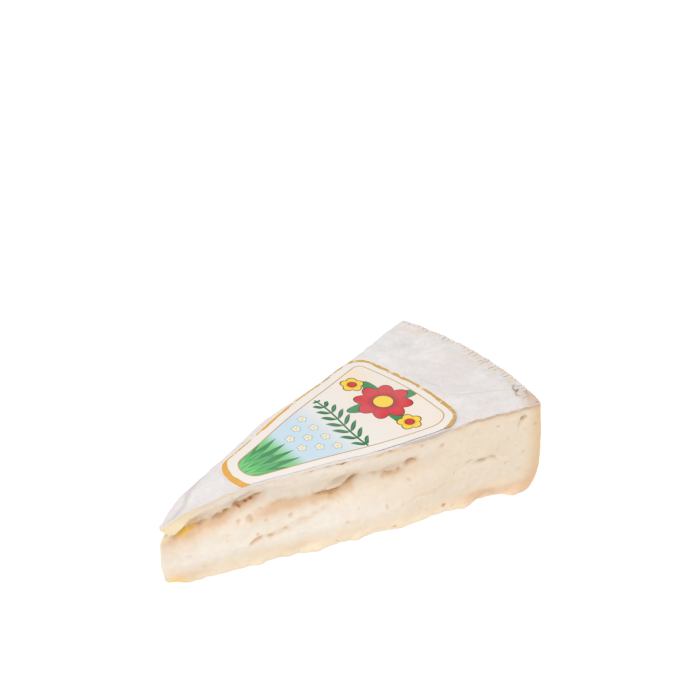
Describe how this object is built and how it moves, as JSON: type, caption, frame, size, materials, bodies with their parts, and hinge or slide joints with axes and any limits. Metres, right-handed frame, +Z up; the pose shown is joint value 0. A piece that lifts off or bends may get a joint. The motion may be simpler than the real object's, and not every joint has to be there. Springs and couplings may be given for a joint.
{
  "type": "brie wedge",
  "caption": "Wedge of soft white-rinded cheese, one twelfth of a flat wheel, with the cut piece of the wheel's printed paper label on its top.",
  "frame": {"origin": "middle of the wedge's bounding box, on the surface that it rests on", "axes": "+X runs along the wedge from its tip to its rim, +Y from the near cut face to the far one, and +Z up through its thickness"},
  "size_m": [0.1633, 0.0849, 0.0407],
  "materials": {
    "cheese": "satin",
    "label": "satin"
  },
  "bodies": {
    "root": {"cheese": "cheese", "label": "label"}
  },
  "joints": []
}
